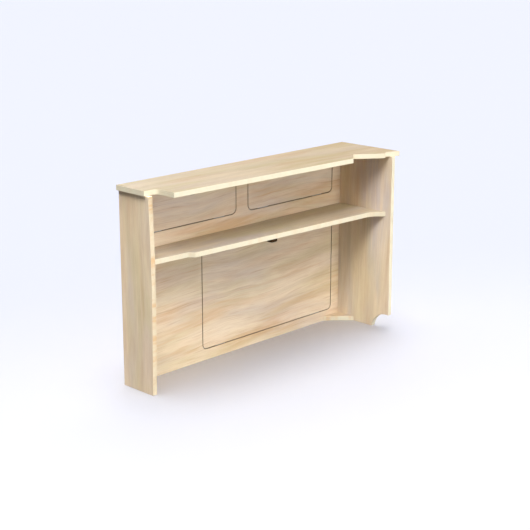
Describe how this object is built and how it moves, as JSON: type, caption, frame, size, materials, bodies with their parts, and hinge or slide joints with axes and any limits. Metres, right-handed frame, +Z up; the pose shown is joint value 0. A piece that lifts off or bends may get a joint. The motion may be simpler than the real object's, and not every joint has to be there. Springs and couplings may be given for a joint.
{
  "type": "campervan kitchen pod",
  "caption": "Slim plywood camper van cabinet, open at the rear, with a scribed worktop and shelf and drop-down doors held by push locks.",
  "frame": {"origin": "on the floor, below the centre of the bounding box", "axes": "+Z up, -Y out of the doors' faces, +X along the length towards the narrow side panel"},
  "size_m": [1.144, 0.2953, 0.706],
  "materials": {
    "birch_plywood": "sanded light birch plywood with a thin matt oil",
    "beech": "plain turned beech",
    "zinc_steel": "zinc-plated steel",
    "satin_nickel": "satin nickel plating",
    "black_plastic": "moulded black plastic",
    "spring_steel": "bright spring wire"
  },
  "bodies": {
    "carcass": {"side_panel_left": "birch_plywood", "side_panel_right": "birch_plywood", "front_panel": "birch_plywood", "worktop": "birch_plywood", "shelf": "birch_plywood", "corner_gusset_left": "birch_plywood", "corner_gusset_right": "birch_plywood", "dowel_right_side_lower": "beech", "dowel_right_side_upper": "beech", "dowel_left_side_lower": "beech", "dowel_left_side_upper": "beech", "dowel_shelf_front_right": "beech", "dowel_shelf_front_left": "beech", "dowel_shelf_side_right": "beech", "dowel_shelf_side_left": "beech", "dowel_worktop_front_right": "beech", "dowel_worktop_front_left": "beech", "dowel_worktop_side_right": "beech", "dowel_worktop_side_left": "beech", "lower_door_hinge_left_fixed_leaf": "zinc_steel", "lower_door_hinge_left_pin": "zinc_steel", "lower_door_hinge_right_fixed_leaf": "zinc_steel", "lower_door_hinge_right_pin": "zinc_steel", "upper_left_door_hinge_left_fixed_leaf": "zinc_steel", "upper_left_door_hinge_left_pin": "zinc_steel", "upper_left_door_hinge_right_fixed_leaf": "zinc_steel", "upper_left_door_hinge_right_pin": "zinc_steel", "upper_right_door_hinge_left_fixed_leaf": "zinc_steel", "upper_right_door_hinge_left_pin": "zinc_steel", "upper_right_door_hinge_right_fixed_leaf": "zinc_steel", "upper_right_door_hinge_right_pin": "zinc_steel", "lower_door_strike_plate": "zinc_steel", "upper_left_door_strike_plate": "zinc_steel", "upper_right_door_strike_plate": "zinc_steel"},
    "lower_door": {"lower_door": "birch_plywood", "lower_door_hinge_left_door_leaf": "zinc_steel", "lower_door_hinge_right_door_leaf": "zinc_steel", "lower_door_lock_case": "black_plastic", "lower_door_lock_rosette": "satin_nickel", "lower_door_lock_spring": "spring_steel"},
    "upper_left_door": {"upper_left_door": "birch_plywood", "upper_left_door_hinge_left_door_leaf": "zinc_steel", "upper_left_door_hinge_right_door_leaf": "zinc_steel", "upper_left_door_lock_case": "black_plastic", "upper_left_door_lock_rosette": "satin_nickel", "upper_left_door_lock_spring": "spring_steel"},
    "upper_right_door": {"upper_right_door": "birch_plywood", "upper_right_door_hinge_left_door_leaf": "zinc_steel", "upper_right_door_hinge_right_door_leaf": "zinc_steel", "upper_right_door_lock_case": "black_plastic", "upper_right_door_lock_rosette": "satin_nickel", "upper_right_door_lock_spring": "spring_steel"},
    "lower_door_button": {"lower_door_lock_button": "satin_nickel"},
    "upper_left_door_button": {"upper_left_door_lock_button": "satin_nickel"},
    "upper_right_door_button": {"upper_right_door_lock_button": "satin_nickel"},
    "lower_door_bolt": {"lower_door_lock_bolt": "zinc_steel"},
    "upper_left_door_bolt": {"upper_left_door_lock_bolt": "zinc_steel"},
    "upper_right_door_bolt": {"upper_right_door_lock_bolt": "zinc_steel"}
  },
  "joints": [
    {"name": "lower_door_hinge", "type": "hinge", "parent": "carcass", "child": "lower_door", "pos_m": [-0.13695, -0.13615, 0.0424], "axis": [1, 0, 0], "range_deg": [0, 90]},
    {"name": "upper_left_door_hinge", "type": "hinge", "parent": "carcass", "child": "upper_left_door", "pos_m": [-0.25285, -0.13615, 0.5228], "axis": [1, 0, 0], "range_deg": [0, 165]},
    {"name": "upper_right_door_hinge", "type": "hinge", "parent": "carcass", "child": "upper_right_door", "pos_m": [0.2715, -0.13615, 0.5228], "axis": [1, 0, 0], "range_deg": [0, 165]},
    {"name": "lower_door_button_slide", "type": "slide", "parent": "lower_door", "child": "lower_door_button", "axis": [0, 1, 0], "range_m": [0, 0.01]},
    {"name": "upper_left_door_button_slide", "type": "slide", "parent": "upper_left_door", "child": "upper_left_door_button", "axis": [0, 1, 0], "range_m": [0, 0.01]},
    {"name": "upper_right_door_button_slide", "type": "slide", "parent": "upper_right_door", "child": "upper_right_door_button", "axis": [0, 1, 0], "range_m": [0, 0.01]},
    {"name": "lower_door_bolt_slide", "type": "slide", "parent": "lower_door", "child": "lower_door_bolt", "axis": [0, 0, 1], "range_m": [0, 0.01], "deforming": ["lower_door_lock_spring"]},
    {"name": "upper_left_door_bolt_slide", "type": "slide", "parent": "upper_left_door", "child": "upper_left_door_bolt", "axis": [0, 0, 1], "range_m": [0, 0.01], "deforming": ["upper_left_door_lock_spring"]},
    {"name": "upper_right_door_bolt_slide", "type": "slide", "parent": "upper_right_door", "child": "upper_right_door_bolt", "axis": [0, 0, 1], "range_m": [0, 0.01], "deforming": ["upper_right_door_lock_spring"]}
  ],
  "couplings": [
    {"joint": "lower_door_bolt_slide", "follows": "lower_door_button_slide", "ratio": 1},
    {"joint": "upper_left_door_bolt_slide", "follows": "upper_left_door_button_slide", "ratio": 1},
    {"joint": "upper_right_door_bolt_slide", "follows": "upper_right_door_button_slide", "ratio": 1}
  ]
}
